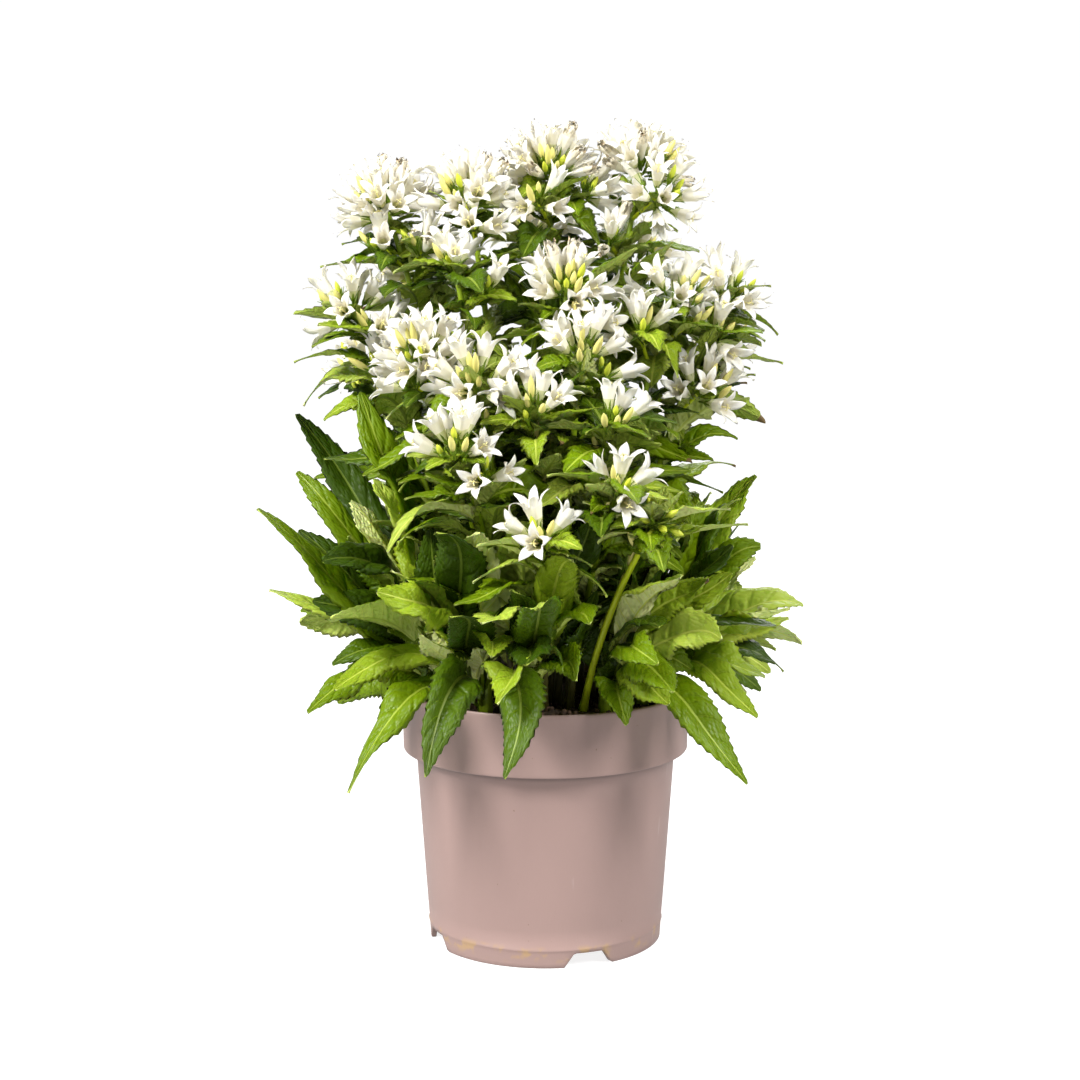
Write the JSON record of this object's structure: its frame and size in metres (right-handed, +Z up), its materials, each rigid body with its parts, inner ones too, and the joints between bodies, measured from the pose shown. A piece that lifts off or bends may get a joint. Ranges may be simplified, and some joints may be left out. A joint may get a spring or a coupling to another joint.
{
  "type": "potted clustered bellflower",
  "caption": "White-flowered clustered bellflower: upright leafy stems with dense heads of star-shaped bells over long basal leaves, in a tapered nursery pot with a deep rim",
  "frame": {"origin": "middle of the pot's underside, on the surface the pot stands on", "axes": "+Z up along the pot's axis; the side shown best faces -Y"},
  "size_m": [0.3544, 0.3559, 0.5425],
  "materials": {
    "pot": "matt taupe moulded plastic",
    "compost": "dark crumbly compost",
    "stem": "satin green stem",
    "blossom": "soft white petals",
    "leaf": "satin green leaf"
  },
  "bodies": {
    "root": {"pot": "pot", "compost": "compost", "stem_left_tall": "stem", "stem_left_middle_tall": "stem", "stem_centre_tall": "stem", "stem_right_tall": "stem", "stem_left_outer": "stem", "stem_left_small": "stem", "stem_centre_front_tall": "stem", "stem_right_middle": "stem", "stem_right_outer": "stem", "stem_left_front": "stem", "stem_left_middle_front": "stem", "stem_centre_middle_front": "stem", "stem_centre_front": "stem", "stem_right_front": "stem", "stem_right_low": "stem", "stem_centre_low": "stem", "stem_left_low": "stem", "stem_bud_shoot": "stem", "stem_back_left": "stem", "stem_back_centre": "stem", "stem_back_right": "stem", "stem_back_far_right": "stem", "stem_back_low": "stem", "stem_back_far_left": "stem", "shoot_left_tall": "blossom", "shoot_left_middle_tall": "blossom", "shoot_centre_tall": "blossom", "shoot_right_tall": "blossom", "shoot_left_outer": "blossom", "shoot_left_small": "blossom", "shoot_centre_front_tall": "blossom", "shoot_right_middle": "blossom", "shoot_right_outer": "blossom", "shoot_left_front": "blossom", "shoot_left_middle_front": "blossom", "shoot_centre_middle_front": "blossom", "shoot_centre_front": "blossom", "shoot_right_front": "blossom", "shoot_right_low": "blossom", "shoot_centre_low": "blossom", "shoot_left_low": "blossom", "shoot_bud_shoot": "blossom", "shoot_back_left": "blossom", "shoot_back_centre": "blossom", "shoot_back_right": "blossom", "shoot_back_far_right": "blossom", "shoot_back_low": "blossom", "shoot_back_far_left": "blossom", "basal_leaves_01": "leaf", "basal_leaves_02": "leaf", "basal_leaves_03": "leaf", "basal_leaves_04": "leaf", "basal_leaves_05": "leaf", "basal_leaves_06": "leaf", "basal_leaves_07": "leaf", "basal_leaves_08": "leaf", "basal_leaves_09": "leaf", "basal_leaves_10": "leaf"}
  },
  "joints": []
}
